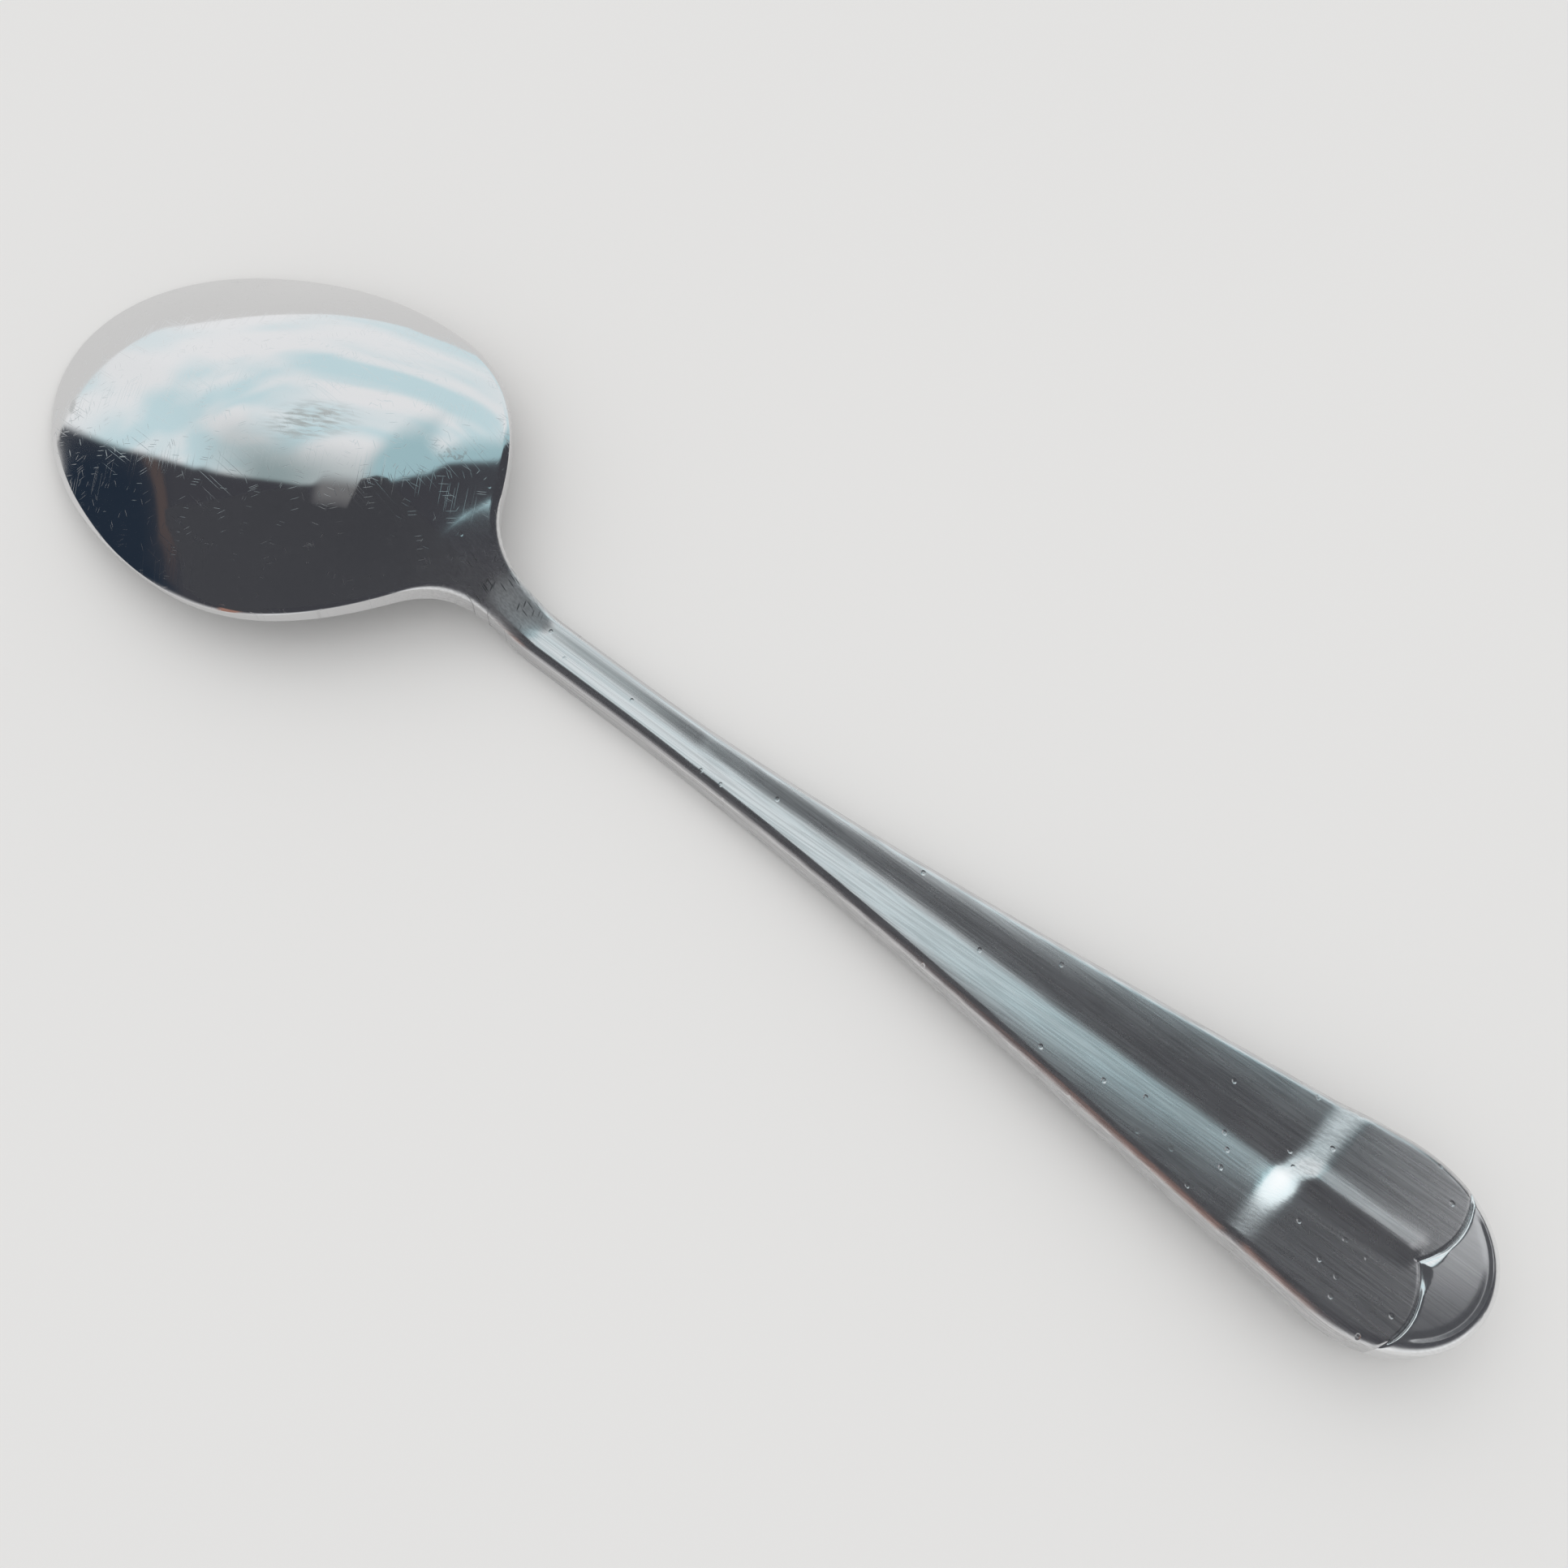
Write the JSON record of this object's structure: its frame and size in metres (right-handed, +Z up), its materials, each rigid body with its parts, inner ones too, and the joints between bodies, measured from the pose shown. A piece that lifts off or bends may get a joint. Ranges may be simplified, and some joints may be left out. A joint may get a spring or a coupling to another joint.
{
  "type": "teaspoon",
  "caption": "Plain steel teaspoon lying face down: wide rounded bowl, bent neck, slim stem and a flared handle, hollowed along its back and ending in a raised crescent.",
  "frame": {"origin": "on the table under the middle of the spoon's length, in its plane of symmetry", "axes": "+X from the bowl towards the handle's end, +Z up from the table with the spoon lying face down, Y across"},
  "size_m": [0.14, 0.035, 0.011],
  "materials": {
    "polished_steel": "mirror polished, with fine scratches and a dull patch on the crown",
    "satin_steel": "satin, brushed lengthwise, with small nicks and brighter worn edges"
  },
  "bodies": {
    "root": {"bowl": "polished_steel", "neck": "satin_steel", "stem": "satin_steel", "blade": "satin_steel", "raised_end": "satin_steel"}
  },
  "joints": []
}
